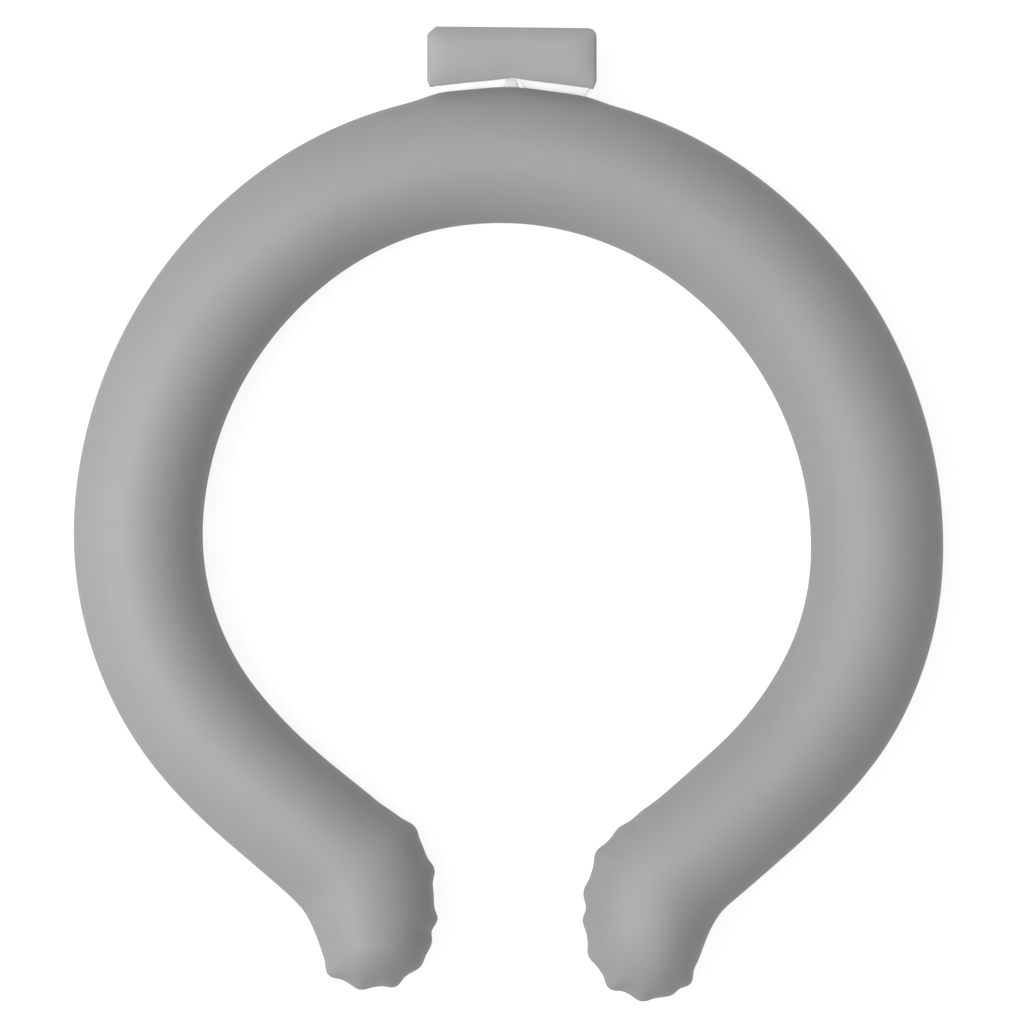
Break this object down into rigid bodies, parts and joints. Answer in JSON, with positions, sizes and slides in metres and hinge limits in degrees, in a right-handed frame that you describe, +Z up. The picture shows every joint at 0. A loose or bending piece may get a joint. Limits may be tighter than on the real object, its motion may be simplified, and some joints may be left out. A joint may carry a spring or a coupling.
{
  "type": "cooling neck ring",
  "caption": "Open cooling ring worn round the neck: a smooth tube of soft film filled with gel, with puckered tips at the throat and a small welded fill tab at the nape.",
  "frame": {"origin": "middle of the outline in plan, on the surface that the ring rests on", "axes": "+Y from the mouth at the throat towards the fill tab at the nape, the ring's longest extent; +Z up through the thickness of the ring as it lies on its side; +X across the neck hole"},
  "size_m": [0.154, 0.1726, 0.023],
  "materials": {
    "grey_film": "soft-touch satin TPU film over grey gel",
    "tab_film": "soft-touch satin TPU film, paler where it holds little gel",
    "milky_film": "milky clear TPU film, two sheets welded flat",
    "pale_film": "milky TPU film with a trace of gel inside"
  },
  "bodies": {
    "root": {"cooling_tube": "grey_film", "film_web_left": "milky_film", "fill_passage": "pale_film", "film_web_right": "milky_film", "fill_tab": "tab_film"}
  },
  "joints": []
}
